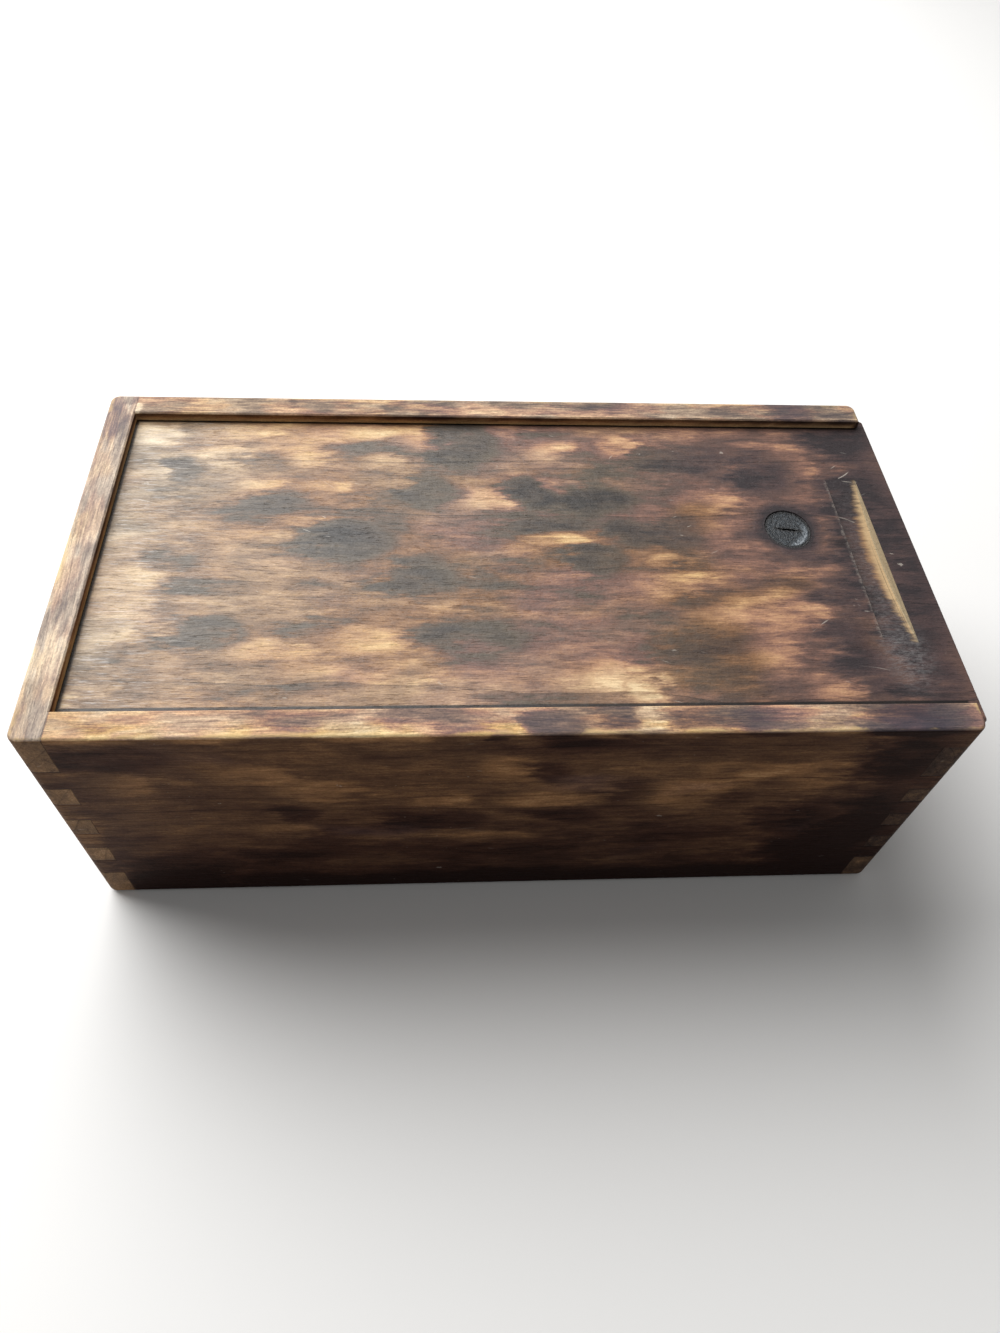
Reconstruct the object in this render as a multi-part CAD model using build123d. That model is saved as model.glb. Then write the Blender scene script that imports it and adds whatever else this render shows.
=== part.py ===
from build123d import *
import os

# Oblong wooden box with finger-jointed corners, a captured bottom panel and a flat sliding lid.
# Millimetres. +X is the way the lid slides out, +Y points to the back, +Z is up.
# The origin is on the base plane, at the middle of everything seen from above, lid included.

# Box
box_length = 228.6
box_width = 122.0
box_height = 84.0
board_thickness = 8.0

# Finger joints: a tall finger at the top and bottom of each end board, an odd number of narrow bands between
end_finger_height = 14.0
narrow_band_count = 7

# Grooves
groove_depth = 4.0
lip_height = 2.8

# Lid
lid_thickness = 5.0
lid_overhang = 2.8
lid_top_clearance = 0.2
lid_side_clearance = 0.3
lid_end_clearance = 0.3
lid_corner_radius = 1.2
lid_edge_radius = 0.6

# Bottom panel
panel_thickness = 4.0
panel_lift = 5.0
panel_edge_clearance = 0.2

# Finger notch, a trough cut into the lid by a wide wheel, measured from the lid's free end
notch_setback = 9.8
notch_width = 9.2
notch_length = 63.0
notch_depth = 2.6
notch_offset = -1.3

# Knot, a tapered plug in the lid, measured from the lid's free end
knot_setback = 35.1
knot_offset = 8.9
knot_length = 13.0
knot_width = 14.6
knot_taper = 0.86
knot_recess = 0.3
knot_ring_gap = 0.15
crack_length = 7.0
crack_width = 0.7
crack_depth = 1.6
crack_angle = -8.0

# Edges sanded after the box is glued up
corner_radius = 2.6
rim_radius = 0.9
base_radius = 2.0
rim_inner_chamfer = 0.4

# Levels
lid_top = box_height - lip_height - lid_top_clearance
lid_floor = lid_top - lid_thickness
lip_underside = box_height - lip_height
panel_top = panel_lift + panel_thickness

# Faces of the box, inside and out
left_face = -(box_length + lid_overhang) / 2
right_face = left_face + box_length
back_face = box_width / 2
front_face = -back_face
inner_left = left_face + board_thickness
inner_right = right_face - board_thickness
inner_back = back_face - board_thickness
inner_front = -inner_back

# Depths that the grooves reach
groove_left = inner_left - groove_depth
groove_right = inner_right + groove_depth
groove_back = inner_back + groove_depth
groove_front = -groove_back

# Edges of the lid
lid_free_end = right_face + lid_overhang
lid_held_end = groove_left + lid_end_clearance
lid_back = groove_back - lid_side_clearance


def block(x0, x1, y0, y1, z0, z1):
    solid = Box(x1 - x0, y1 - y0, z1 - z0)
    return Pos((x0 + x1) / 2, (y0 + y1) / 2, (z0 + z1) / 2) * solid


def sanded_outline():
    # The whole box as one rounded block, which trims every board so that the roundings run on from one to the next
    outline = block(left_face, right_face, front_face, back_face, 0, box_height)
    outline = fillet(outline.edges().filter_by(Axis.Z), corner_radius)
    outline = fillet(outline.faces().sort_by(Axis.Z)[-1].edges(), rim_radius)
    return fillet(outline.faces().sort_by(Axis.Z)[0].edges(), base_radius)


def rim_flare():
    # The eased inner edge of the rim, a mouth that widens upwards and runs out past the open end
    mouth_right = right_face + board_thickness
    length = mouth_right - inner_left
    centre = (inner_left + mouth_right) / 2
    width = inner_back - inner_front
    lower = Pos(centre, 0, box_height - rim_inner_chamfer) * Rectangle(length, width)
    upper = Pos(centre, 0, box_height) * Rectangle(length + 2 * rim_inner_chamfer, width + 2 * rim_inner_chamfer)
    return loft([lower, upper])


def joint_bands(height, first):
    # Heights of every second band of a corner joint: first is 0 for the end board's fingers, 1 for the side board's
    step = (height - 2 * end_finger_height) / narrow_band_count
    levels = [0.0]
    levels += [end_finger_height + index * step for index in range(narrow_band_count + 1)]
    levels += [height]
    return list(zip(levels[:-1], levels[1:]))[first::2]


def side_board():
    # The front board: its fingers are what is left between the sockets for the end boards' fingers
    board = block(left_face, right_face, front_face, inner_front, 0, box_height)
    for x0, x1, height in ((left_face, inner_left, box_height), (inner_right, right_face, lid_floor)):
        for low, high in joint_bands(height, 0):
            board -= block(x0, x1, front_face, inner_front, low, high)
    board -= block(left_face, right_face, groove_front, inner_front, lid_floor, lip_underside)
    board -= block(left_face, right_face, groove_front, inner_front, panel_lift, panel_top)
    return (board & sanded_outline()) - rim_flare()


def end_board(x0, x1, height):
    # A board across the whole width, less the sockets for the side boards' fingers at both of its ends
    board = block(x0, x1, front_face, back_face, 0, height)
    for low, high in joint_bands(height, 1):
        board -= block(x0, x1, front_face, inner_front, low, high)
        board -= block(x0, x1, inner_back, back_face, low, high)
    return board & sanded_outline()


def closed_end_board():
    # Its grooves stop inside the end fingers, so that none shows on the outside
    board = end_board(left_face, inner_left, box_height)
    board -= block(groove_left, inner_left, groove_front, groove_back, lid_floor, lip_underside)
    board -= block(groove_left, inner_left, groove_front, groove_back, panel_lift, panel_top)
    return board - rim_flare()


def open_end_board():
    # It ends level with the groove's floor, and the lid slides out over it
    board = end_board(inner_right, right_face, lid_floor)
    return board - block(inner_right, groove_right, groove_front, groove_back, panel_lift, panel_top)


def bottom_panel():
    left = groove_left + panel_edge_clearance
    right = groove_right - panel_edge_clearance
    back = groove_back - panel_edge_clearance
    return block(left, right, -back, back, panel_lift, panel_top)


def notch_cutter():
    # A wheel whose rim dips into the lid by the notch's depth and leaves it at the notch's two ends
    radius = (notch_length**2 / 4 + notch_depth**2) / (2 * notch_depth)
    wheel = Cylinder(radius, notch_width, rotation=(0, 90, 0))
    x = lid_free_end - notch_setback - notch_width / 2
    return Pos(x, notch_offset, lid_top - notch_depth + radius) * wheel


def knot_plug(gap):
    # An upright oval plug, narrower below, as wide all round as the knot plus the gap
    centre = Pos(lid_free_end - knot_setback, knot_offset, 0)
    wide = Ellipse(knot_length / 2 + gap, knot_width / 2 + gap)
    narrow = Ellipse(knot_taper * knot_length / 2 + gap, knot_taper * knot_width / 2 + gap)
    return centre * loft([Pos(0, 0, lid_floor) * narrow, Pos(0, 0, lid_top) * wide])


def sliding_lid():
    lid = block(lid_held_end, lid_free_end, -lid_back, lid_back, lid_floor, lid_top)
    lid = fillet(lid.edges().filter_by(Axis.Z).group_by(Axis.X)[-1], lid_corner_radius)
    lid = fillet(lid.faces().sort_by(Axis.Z)[-1].edges(), lid_edge_radius)
    lid = fillet(lid.faces().sort_by(Axis.Z)[0].edges(), lid_edge_radius)
    return lid - notch_cutter() - knot_plug(knot_ring_gap)


def drying_crack():
    # A pointed slit across the knot, two shallow arcs that meet at its ends
    half = crack_length / 2
    slit = make_face(
        [
            ThreePointArc((-half, 0), (0, crack_width / 2), (half, 0)),
            ThreePointArc((half, 0), (0, -crack_width / 2), (-half, 0)),
        ]
    )
    top = Pos(lid_free_end - knot_setback, knot_offset, lid_top) * Rot(0, 0, crack_angle)
    return top * extrude(slit, -(knot_recess + crack_depth))


def lid_knot():
    above = block(lid_held_end, lid_free_end, -lid_back, lid_back, lid_top - knot_recess, box_height)
    return knot_plug(0) - above - drying_crack()


front_board = side_board()

pieces = {
    "front_board": front_board,
    "back_board": mirror(front_board, about=Plane.XZ),
    "closed_end_board": closed_end_board(),
    "open_end_board": open_end_board(),
    "bottom_panel": bottom_panel(),
    "sliding_lid": sliding_lid(),
    "lid_knot": lid_knot(),
}

os.makedirs("parts", exist_ok=True)
for name, piece in pieces.items():
    export_step(piece, f"parts/{name}.step")
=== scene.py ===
import bpy
from math import cos, radians, sin, tau
from mathutils import Matrix, Vector


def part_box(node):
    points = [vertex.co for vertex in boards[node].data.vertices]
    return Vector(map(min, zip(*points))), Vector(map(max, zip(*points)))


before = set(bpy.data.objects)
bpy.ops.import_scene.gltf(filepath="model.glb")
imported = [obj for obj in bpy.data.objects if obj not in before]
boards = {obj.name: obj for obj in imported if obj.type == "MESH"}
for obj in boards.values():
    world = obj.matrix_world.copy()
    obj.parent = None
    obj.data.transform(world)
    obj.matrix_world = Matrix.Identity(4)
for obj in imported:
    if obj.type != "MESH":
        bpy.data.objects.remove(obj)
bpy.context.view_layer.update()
bpy.ops.object.select_all(action="DESELECT")


# Camera, floor and light

camera = {
    "lens": 25.33,                        # mm
    "sensor": 36,                         # mm along the picture's long side
    "nearest": 0.01,
    "yaw": 6.67,                          # degrees to the right of straight ahead
    "pitch": 53.35,                       # degrees below the horizon
    "roll": 4.985,
    "place": (-0.0197, -0.1766, 0.2672),
}

studio = {
    "keyPlace": (-0.50, 0.62, 0.78),      # back left, above
    "keySize": 1.3,
    "keyPower": 24.0,
    "fillPlace": (0.55, -0.85, 0.60),
    "fillSize": 1.2,
    "fillPower": 0.3,
    "sky": 0.22,
    "floorColour": "#f3f2f0",
    "floorSize": 6.0,
    "floorRough": 0.9,
}


def hexColour(text):
    # From sRGB to linear
    channels = [int(text[i:i + 2], 16) / 255 for i in (1, 3, 5)]
    linear = [c / 12.92 if c <= 0.04045 else ((c + 0.055) / 1.055) ** 2.4 for c in channels]
    return (*linear, 1.0)


def makeCamera():
    yaw, pitch, roll = (radians(camera[turn]) for turn in ("yaw", "pitch", "roll"))
    ahead = Vector((sin(yaw) * cos(pitch), cos(yaw) * cos(pitch), -sin(pitch)))
    level = Vector((cos(yaw), -sin(yaw), 0))
    upright = level.cross(ahead)
    right = cos(roll) * level + sin(roll) * upright
    up = cos(roll) * upright - sin(roll) * level
    data = bpy.data.cameras.new("photoCamera")
    data.sensor_width = camera["sensor"]
    data.lens = camera["lens"]
    data.clip_start = camera["nearest"]
    eye = bpy.data.objects.new("photoCamera", data)
    facing = Matrix((right, up, -ahead)).transposed().to_4x4()
    eye.matrix_world = Matrix.Translation(camera["place"]) @ facing
    bpy.context.scene.collection.objects.link(eye)
    bpy.context.scene.camera = eye


def areaLight(name, place, size, power):
    data = bpy.data.lights.new(name, "AREA")
    data.shape = "DISK"
    data.size = size
    data.energy = power
    lamp = bpy.data.objects.new(name, data)
    lamp.location = place
    lamp.rotation_euler = (-Vector(place)).to_track_quat("-Z", "Y").to_euler()
    bpy.context.scene.collection.objects.link(lamp)


def makeStudio():
    areaLight("keyLight", studio["keyPlace"], studio["keySize"], studio["keyPower"])
    areaLight("fillLight", studio["fillPlace"], studio["fillSize"], studio["fillPower"])
    world = bpy.data.worlds.new("studioSky")
    world.use_nodes = True
    sky = world.node_tree.nodes["Background"].inputs
    sky["Strength"].default_value = studio["sky"]
    sky["Color"].default_value = (1, 1, 1, 1)
    bpy.context.scene.world = world
    bpy.ops.mesh.primitive_plane_add(size=studio["floorSize"])
    floor = bpy.context.active_object
    floor.name = "studioFloor"
    material = bpy.data.materials.new("paleFloor")
    material.use_nodes = True
    paint = material.node_tree.nodes["Principled BSDF"].inputs
    paint["Base Color"].default_value = hexColour(studio["floorColour"])
    paint["Roughness"].default_value = studio["floorRough"]
    floor.data.materials.append(material)
    bpy.ops.object.select_all(action="DESELECT")
    bpy.context.scene.view_settings.view_transform = "Standard"


makeCamera()
makeStudio()
print("camera and studio ready")


# Sizes that the finishes follow, in millimetres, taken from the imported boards

def millimetreBox(*names):
    corners = [corner * 1000 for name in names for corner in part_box(name)]
    low = Vector([min(c[axis] for c in corners) for axis in range(3)])
    high = Vector([max(c[axis] for c in corners) for axis in range(3)])
    return low, high


boxLow, boxHigh = millimetreBox("front_board", "back_board", "closed_end_board", "open_end_board")
lidLow, lidHigh = millimetreBox("sliding_lid")
knotLow, knotHigh = millimetreBox("lid_knot")
innerLeft = millimetreBox("closed_end_board")[1].x
innerRight = millimetreBox("open_end_board")[0].x
innerBack = millimetreBox("back_board")[0].y
openEndTop = millimetreBox("open_end_board")[1].z
endThickness = innerLeft - boxLow.x
sideThickness = boxHigh.y - innerBack

joint = {"endFinger": 14.0, "bands": 7}
anyHeight = 400                           # a reach so tall that height makes no difference


# Node helpers

def put(tree, kind, sockets=None, **settings):
    node = tree.nodes.new("ShaderNode" + kind)
    for key, value in settings.items():
        setattr(node, key, value)
    for key, value in (sockets or {}).items():
        if isinstance(value, bpy.types.NodeSocket):
            tree.links.new(value, node.inputs[key])
        else:
            node.inputs[key].default_value = value
    return node


def maths(tree, operation, *values, clamp=False):
    return put(tree, "Math", dict(enumerate(values)), operation=operation, use_clamp=clamp).outputs[0]


def times(tree, first, second):
    return maths(tree, "MULTIPLY", first, second)


def weigh(tree, value, weight, base):
    # The value times its weight, on top of the base
    return maths(tree, "MULTIPLY_ADD", value, weight, base)


def apart(tree, first, second):
    return maths(tree, "ABSOLUTE", maths(tree, "SUBTRACT", first, second))


def centred(tree, value):
    return maths(tree, "SUBTRACT", value, 0.5)


def vectors(tree, operation, *values):
    return put(tree, "VectorMath", dict(enumerate(values)), operation=operation).outputs[0]


def distance(tree, vector):
    return put(tree, "VectorMath", {0: vector}, operation="LENGTH").outputs["Value"]


def split(tree, vector):
    return put(tree, "SeparateXYZ", {0: vector}).outputs


def rotated(tree, vector, angle):
    return put(tree, "Mapping", {"Vector": vector, "Rotation": (0, 0, angle)}).outputs[0]


def fade(tree, value, start, end, low=0.0, high=1.0):
    sockets = {"Value": value, "From Min": start, "From Max": end, "To Min": low, "To Max": high}
    return put(tree, "MapRange", sockets, interpolation_type="SMOOTHSTEP").outputs[0]


def noise(tree, vector, scale=1.0, detail=2.0, roughness=0.5):
    # The scale is one number, or three where the pattern is stretched
    if isinstance(scale, tuple):
        vector, scale = vectors(tree, "MULTIPLY", vector, scale), 1.0
    sockets = {"Vector": vector, "Scale": scale, "Detail": detail, "Roughness": roughness}
    return put(tree, "TexNoise", sockets).outputs


def swing(tree, colour, reach):
    # A noise's colour as a shift to both sides, up to half the reach each way
    evened = vectors(tree, "SUBTRACT", colour, (0.5, 0.5, 0.5))
    return vectors(tree, "MULTIPLY", evened, reach)


def chanceOf(tree, seed):
    return put(tree, "TexWhiteNoise", {"W": seed}, noise_dimensions="1D").outputs["Value"]


def scattered(tree, vector, stretch):
    # Cells strewn at random: the distance to the middle of each, and its own chance value
    cells = put(tree, "TexVoronoi", {"Vector": vectors(tree, "MULTIPLY", vector, stretch), "Scale": 1.0})
    return cells.outputs["Distance"], split(tree, cells.outputs["Color"])["X"]


def mixColour(tree, factor, first, second):
    # Each colour is a socket or a hex text
    first, second = (hexColour(colour) if isinstance(colour, str) else colour for colour in (first, second))
    return put(tree, "Mix", {0: factor, 6: first, 7: second}, data_type="RGBA").outputs[2]


def ramp(tree, value, stops):
    stops = list(stops)
    node = put(tree, "ValToRGB", {"Fac": value})
    points = node.color_ramp.elements
    while len(points) < len(stops):
        points.new(0.5)
    for point, (place, colour) in zip(points, stops):
        point.position = place
        point.color = hexColour(colour)
    return node.outputs["Color"]


def startGroup(name, takes, gives):
    tree = bpy.data.node_groups.new(name, "ShaderNodeTree")
    for label, kind in takes:
        tree.interface.new_socket(label, in_out="INPUT", socket_type="NodeSocket" + kind)
    for label, kind in gives:
        tree.interface.new_socket(label, in_out="OUTPUT", socket_type="NodeSocket" + kind)
    given = tree.nodes.new("NodeGroupInput").outputs
    wanted = tree.nodes.new("NodeGroupOutput").inputs
    return tree, given, wanted


def effect(tree, name, **sockets):
    return put(tree, "Group", sockets, node_tree=bpy.data.node_groups[name]).outputs


# Effects that several finishes share

grainShape = {
    "sway": (0.011, 0.035, 0.035), "swayReach": (0, 9, 9),
    "lengthwise": 0.035,                  # how far the rings are drawn out along the board
    "lateWood": 7.0,                      # higher makes a ring's dark part narrower
    "faintest": 0.12, "spread": 1.2,      # how strong a year's ring is
    "threads": (0.12, 2.2, 2.2), "threadShare": 0.55,
    "mottle": (1.3, 2.2, 2.2), "mottleShare": 0.45,
    "dashes": (0.25, 2.6, 2.6), "fleckFade": (0.62, 0.74), "glintFade": (0.37, 0.27),
}


def makeWoodGrain():
    # Solid grain with its fibres along X: growth rings round a pith line, fibres, dark flecks and pale glints
    tree, given, wanted = startGroup(
        "woodGrain",
        [("Vector", "Vector"), ("Pith", "Vector"), ("RingWidth", "Float")],
        [("Rings", "Float"), ("Fibres", "Float"), ("Flecks", "Float"), ("Glints", "Float")],
    )
    slow = noise(tree, given["Vector"], grainShape["sway"])["Color"]
    swayed = vectors(tree, "ADD", given["Vector"], swing(tree, slow, grainShape["swayReach"]))
    fromPith = vectors(tree, "SUBTRACT", swayed, given["Pith"])
    radius = distance(tree, vectors(tree, "MULTIPLY", fromPith, (grainShape["lengthwise"], 1, 1)))
    years = maths(tree, "DIVIDE", radius, given["RingWidth"])
    season = maths(tree, "POWER", maths(tree, "FRACT", years), grainShape["lateWood"])
    year = maths(tree, "POWER", chanceOf(tree, maths(tree, "FLOOR", years)), 2.0)
    strength = weigh(tree, year, grainShape["spread"], grainShape["faintest"])
    tree.links.new(times(tree, season, strength), wanted["Rings"])
    threads = noise(tree, swayed, grainShape["threads"], detail=3, roughness=0.65)["Fac"]
    mottle = noise(tree, swayed, grainShape["mottle"], detail=3, roughness=0.7)["Fac"]
    mottle = times(tree, mottle, grainShape["mottleShare"])
    tree.links.new(weigh(tree, threads, grainShape["threadShare"], mottle), wanted["Fibres"])
    dashes = noise(tree, swayed, grainShape["dashes"], detail=1)["Fac"]
    tree.links.new(fade(tree, dashes, *grainShape["fleckFade"]), wanted["Flecks"])
    tree.links.new(fade(tree, dashes, *grainShape["glintFade"]), wanted["Glints"])


spotFade = (1.20, 0.48)                   # where a spot starts and where it is full, as shares of its reach


def makeScorchSpot():
    # Adds one soft oval of darker or lighter scorching to the scorch so far
    tree, given, wanted = startGroup(
        "scorchSpot",
        [
            ("Scorch", "Float"), ("Vector", "Vector"), ("Centre", "Vector"),
            ("Reach", "Vector"), ("Strength", "Float"),
        ],
        [("Scorch", "Float")],
    )
    offset = vectors(tree, "SUBTRACT", given["Vector"], given["Centre"])
    away = distance(tree, vectors(tree, "DIVIDE", offset, given["Reach"]))
    spot = fade(tree, away, *spotFade)
    tree.links.new(weigh(tree, spot, given["Strength"], given["Scorch"]), wanted["Scorch"])


# The torch's passes: stretch, detail, roughness, and how far each drags the edges of wide and of small spots
torchPasses = {
    "Clouds": ((0.034, 0.075, 0.075), 2, 0.5, (10, 7, 7), (2, 1, 1)),
    "Streaks": ((0.06, 0.19, 0.19), 4, 0.5, (17, 3.5, 3.5), (10, 1.5, 1.5)),
    "Licks": ((0.15, 0.6, 0.6), 4, 0.6, (14, 1.6, 1.6), (9, 1.1, 1.1)),
}


def makeTorchDrift():
    # The torch's uneven passes in three sizes, and vectors that drag the edges of its spots along the fibres
    tree, given, wanted = startGroup(
        "torchDrift",
        [("Vector", "Vector")],
        [
            ("Clouds", "Float"), ("Streaks", "Float"), ("Licks", "Float"),
            ("Vector", "Vector"),             # for wide spots
            ("Tight", "Vector"),              # for small ones that keep their place
        ],
    )
    pushed = tight = given["Vector"]
    for label, (stretch, detail, roughness, push, tightPush) in torchPasses.items():
        passes = noise(tree, given["Vector"], stretch, detail, roughness)
        tree.links.new(times(tree, centred(tree, passes["Fac"]), 2.0), wanted[label])
        pushed = vectors(tree, "ADD", pushed, swing(tree, passes["Color"], push))
        tight = vectors(tree, "ADD", tight, swing(tree, passes["Color"], tightPush))
    tree.links.new(pushed, wanted["Vector"])
    tree.links.new(tight, wanted["Tight"])


charTones = {
    "places": (0.0, 0.14, 0.30, 0.46, 0.62, 0.80, 1.0),
    "brown": ("#dec08c", "#cba571", "#ab835b", "#845f3f", "#5c412d", "#3e261c", "#210f0a"),
    "russet": ("#dcba8b", "#c59b74", "#a67b5f", "#7d5b4d", "#5c443d", "#483636", "#2d2528"),
    "smoked": ("#d4c4aa", "#bba98f", "#99876f", "#786852", "#5d5142", "#494036", "#2e2a27"),
}


def makeCharColour():
    # From bare wood at 0 to charcoal at 1, in brown, in russet, or dulled by smoke
    tree, given, wanted = startGroup(
        "charColour",
        [("Scorch", "Float"), ("Russet", "Float"), ("Smoke", "Float")],
        [("Colour", "Color")],
    )
    brown, russet, smoked = (
        ramp(tree, given["Scorch"], zip(charTones["places"], charTones[name]))
        for name in ("brown", "russet", "smoked")
    )
    burnt = mixColour(tree, given["Russet"], brown, russet)
    tree.links.new(mixColour(tree, given["Smoke"], burnt, smoked), wanted["Colour"])


def makeEdgeDistance():
    # Millimetres to the nearest face of a box, and to the second nearest, which is small along its edges
    tree, given, wanted = startGroup(
        "edgeDistance",
        [("Vector", "Vector"), ("Low", "Vector"), ("High", "Vector")],
        [("Face", "Float"), ("Edge", "Float"), ("Near", "Vector")],
    )
    fromLow = vectors(tree, "SUBTRACT", given["Vector"], given["Low"])
    fromHigh = vectors(tree, "SUBTRACT", given["High"], given["Vector"])
    nearest = vectors(tree, "MINIMUM", fromLow, fromHigh)
    tree.links.new(nearest, wanted["Near"])
    near = split(tree, nearest)
    lesser = maths(tree, "MINIMUM", near["X"], near["Y"])
    greater = maths(tree, "MAXIMUM", near["X"], near["Y"])
    tree.links.new(maths(tree, "MINIMUM", lesser, near["Z"]), wanted["Face"])
    second = maths(tree, "MAXIMUM", lesser, maths(tree, "MINIMUM", greater, near["Z"]))
    tree.links.new(second, wanted["Edge"])


def makeFingerLines():
    # The finger joint at one corner: dark glue lines between its bands, and the number of each band
    tree, given, wanted = startGroup(
        "fingerLines",
        [("Height", "Float"), ("Step", "Float")],
        [("Line", "Float"), ("Band", "Float")],
    )
    steps = maths(tree, "DIVIDE", maths(tree, "SUBTRACT", given["Height"], joint["endFinger"]), given["Step"])
    clamped = maths(tree, "MINIMUM", maths(tree, "MAXIMUM", steps, -0.5), joint["bands"] + 0.5)
    offset = apart(tree, clamped, maths(tree, "ROUND", clamped))
    tree.links.new(fade(tree, times(tree, offset, given["Step"]), 0.32, 0.06), wanted["Line"])
    tree.links.new(maths(tree, "FLOOR", clamped), wanted["Band"])


scuffs = {
    "nickJitter": 1.3, "nickReach": (2.2, 1.6, 1.6), "nickStretch": (0.07, 0.11, 0.11),
    "nickFade": (0.07, 0.03), "nickChance": 0.62,
    "scratchSway": 0.05, "scratchReach": (9, 9, 9), "scratchStretch": (0.020, 0.62, 0.62),
    "scratchFade": (0.13, 0.05), "scratchChance": (0.86, 1.0),
    "scratchTurns": (24, -38, 8),         # degrees from the fibres
}


def makeScuffs():
    # Small pale nicks and fine scratches, scattered at random
    tree, given, wanted = startGroup(
        "scuffs",
        [("Vector", "Vector")],
        [("Nicks", "Float"), ("Scratches", "Float")],
    )
    jitter = noise(tree, given["Vector"], scuffs["nickJitter"])["Color"]
    rough = vectors(tree, "ADD", given["Vector"], swing(tree, jitter, scuffs["nickReach"]))
    away, chance = scattered(tree, rough, scuffs["nickStretch"])
    chosen = maths(tree, "GREATER_THAN", chance, scuffs["nickChance"])
    tree.links.new(times(tree, fade(tree, away, *scuffs["nickFade"]), chosen), wanted["Nicks"])
    sway = noise(tree, given["Vector"], scuffs["scratchSway"], detail=1)["Color"]
    bent = vectors(tree, "ADD", given["Vector"], swing(tree, sway, scuffs["scratchReach"]))
    scratches = 0.0
    for turn in scuffs["scratchTurns"]:
        away, chance = scattered(tree, rotated(tree, bent, radians(turn)), scuffs["scratchStretch"])
        chosen = fade(tree, chance, *scuffs["scratchChance"])
        line = times(tree, fade(tree, away, *scuffs["scratchFade"]), chosen)
        scratches = maths(tree, "MAXIMUM", line, scratches)
    tree.links.new(scratches, wanted["Scratches"])


makeScuffs()
makeWoodGrain()
makeScorchSpot()
makeTorchDrift()
makeCharColour()
makeEdgeDistance()
makeFingerLines()
print("shared effects ready")


def startMaterial(name):
    material = bpy.data.materials.new(name)
    material.use_nodes = True
    tree = material.node_tree
    surface = tree.nodes["Principled BSDF"].inputs
    metres = put(tree, "TexCoord").outputs["Object"]
    place = put(tree, "Mapping", {"Vector": metres, "Scale": (1000, 1000, 1000)}).outputs[0]
    return material, tree, surface, place


wood = {
    "russetFade": (0.44, 0.66),
    "scuffColour": "#d8cfc2",
    "brightness": 1.05,                   # where no ring, fleck or fibre darkens it
    # relief in mm, outwards
    "relief": {"Rings": -0.04, "Fibres": 0.13, "Flecks": -0.07, "Glints": 0.04},
    "waves": 0.33, "waveRelief": 0.14,
    "seamRelief": -0.12,
}


def woodColour(tree, place, scorch, smoke, grain, tints, finish):
    russet = fade(tree, tints, *wood["russetFade"])
    threads = centred(tree, grain["Fibres"])
    scorch = weigh(tree, threads, finish["fibreScorch"], scorch)
    colour = effect(tree, "charColour", Scorch=scorch, Russet=russet, Smoke=smoke)["Colour"]
    marks = effect(tree, "scuffs", Vector=place)
    nicks = times(tree, marks["Nicks"], finish["nicks"])
    worn = maths(tree, "MAXIMUM", nicks, times(tree, marks["Scratches"], finish["scratches"]))
    colour = mixColour(tree, worn, colour, wood["scuffColour"])
    shade = weigh(tree, grain["Rings"], -finish["ringShade"], wood["brightness"])
    shade = weigh(tree, grain["Flecks"], -finish["fleckShade"], shade)
    # Glints: pale specks, partly the wood's own and partly painted highlights on the fibres
    shade = weigh(tree, grain["Glints"], finish["glintShade"], shade)
    shade = weigh(tree, threads, -finish["fibreShade"], shade)
    return vectors(tree, "MULTIPLY", colour, shade)


def bumps(tree, surface, relief):
    bump = put(tree, "Bump", {"Height": relief, "Strength": 1.0, "Distance": 0.001})
    tree.links.new(bump.outputs[0], surface["Normal"])


def woodSurface(tree, surface, place, grain, seam, finish):
    gloss = weigh(tree, grain["Fibres"], finish["roughSpread"], finish["rough"])
    tree.links.new(gloss, surface["Roughness"])
    relief = times(tree, noise(tree, place, wood["waves"], detail=3)["Fac"], wood["waveRelief"])
    for label, height in wood["relief"].items():
        relief = weigh(tree, grain[label], height, relief)
    if seam is not None:
        relief = weigh(tree, seam, wood["seamRelief"], relief)
    bumps(tree, surface, relief)


def dress(node, material):
    mesh = boards[node].data
    mesh.materials.clear()
    mesh.materials.append(material)


def addSpots(tree, scorch, vector, spots):
    for centre, reach, strength in spots:
        scorch = effect(
            tree, "scorchSpot", Scorch=scorch, Vector=vector, Centre=centre, Reach=reach, Strength=strength
        )["Scorch"]
    return scorch


def addDrift(tree, scorch, drift, finish, patchy=1.0):
    for label in torchPasses:
        scorch = weigh(tree, drift[label], finish[label.lower()] * patchy, scorch)
    return scorch


# The box's boards

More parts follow.
